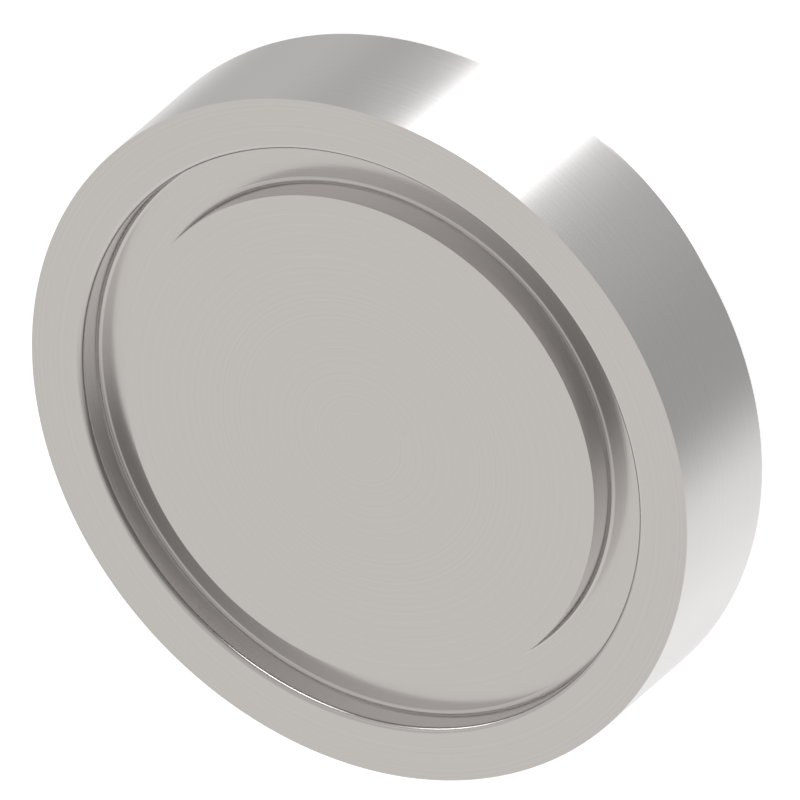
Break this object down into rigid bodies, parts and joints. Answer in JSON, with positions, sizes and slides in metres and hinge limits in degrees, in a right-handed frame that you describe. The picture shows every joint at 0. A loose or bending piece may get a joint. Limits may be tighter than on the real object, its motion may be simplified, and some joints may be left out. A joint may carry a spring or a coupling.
{
  "type": "hydraulic face seal plug",
  "caption": "Solid round steel plug with a seal groove in its flat front face and a narrower stub behind, clamped over a hydraulic port to close it.",
  "frame": {"origin": "centre of the stub's rear face, which the plug stands on", "axes": "+Z along the turning axis, out of the sealing face; +X and +Y are any two radii"},
  "size_m": [0.0635, 0.0634, 0.0203],
  "materials": {
    "turned_steel": "satin, finely turned, bright plated"
  },
  "bodies": {
    "root": {"plug_body": "turned_steel"}
  },
  "joints": []
}
